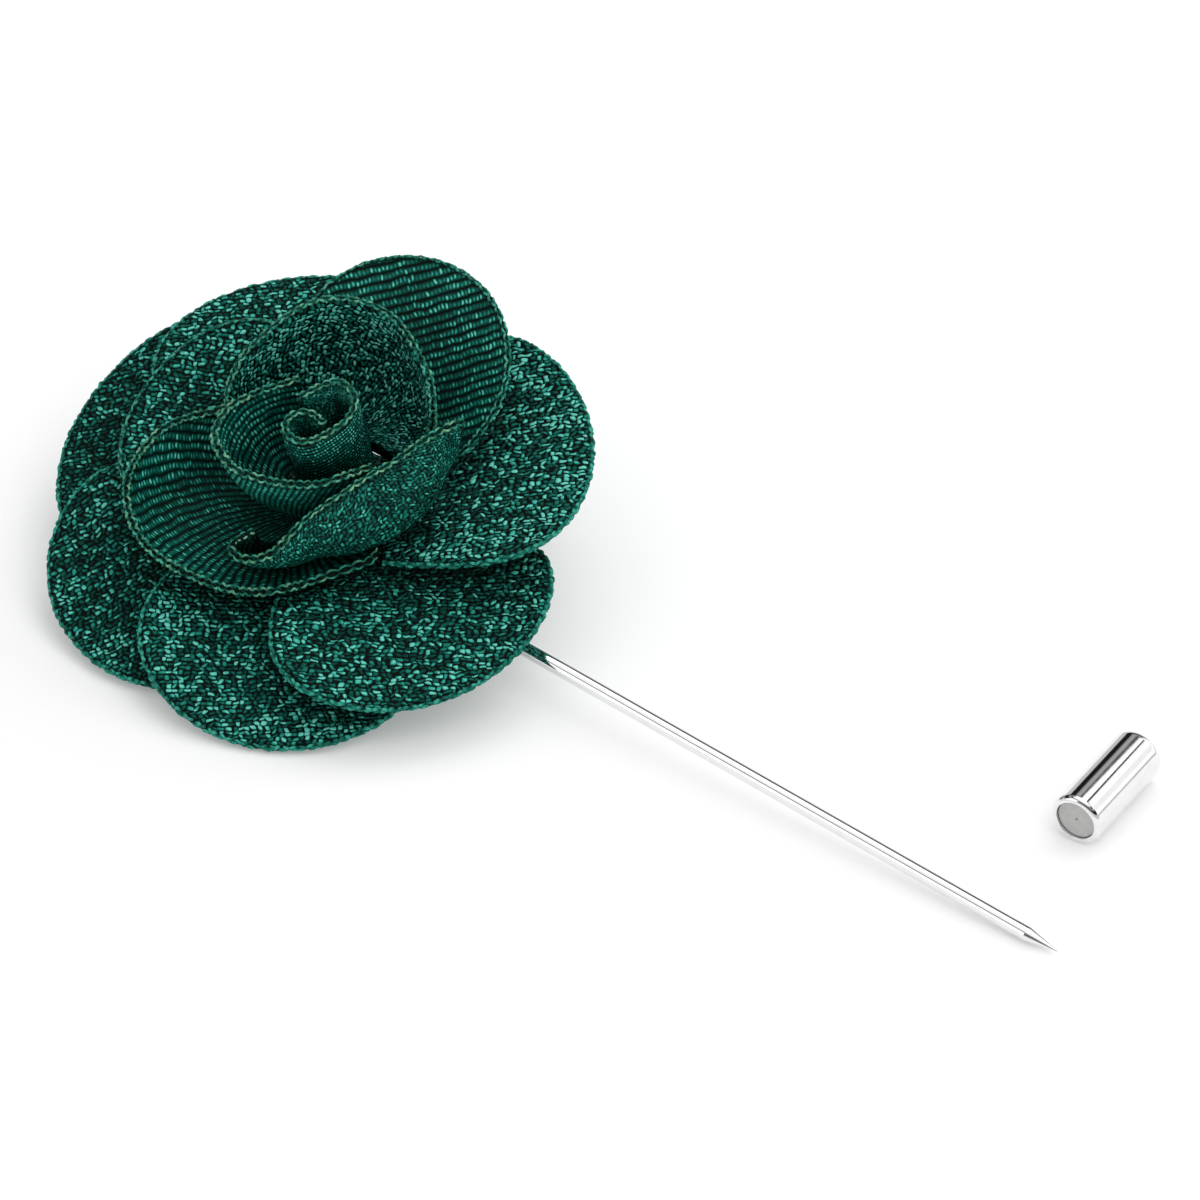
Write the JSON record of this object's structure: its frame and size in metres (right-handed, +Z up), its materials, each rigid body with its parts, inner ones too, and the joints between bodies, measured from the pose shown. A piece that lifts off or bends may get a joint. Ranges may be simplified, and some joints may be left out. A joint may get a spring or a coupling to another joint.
{
  "type": "flower lapel pin",
  "caption": "Green cloth flower with layered round petals on a long straight steel stick pin, lying down with its small metal pin cap beside it.",
  "frame": {"origin": "on the surface it rests on, at the middle of its footprint's box", "axes": "+X along the pin from the flower towards the point, +Y from the pin towards the cap, +Z up"},
  "size_m": [0.1006, 0.0446, 0.0252],
  "materials": {
    "cloth": "coarse woven dark green cloth with a lighter stitched rim",
    "metal": "polished",
    "grip": "matt light grey"
  },
  "bodies": {
    "root": {"outer_petal_right": "cloth", "outer_petal_front_right": "cloth", "outer_petal_front": "cloth", "outer_petal_left": "cloth", "outer_petal_back_left": "cloth", "outer_petal_back": "cloth", "second_petal_back": "cloth", "second_petal_left": "cloth", "cupped_petal": "cloth", "folded_petal": "cloth", "hood_petal": "cloth", "inner_cup": "cloth", "bud": "cloth", "flower_foot": "cloth", "stick_pin": "metal", "cap_shell": "metal", "cap_grip": "grip"}
  },
  "joints": []
}
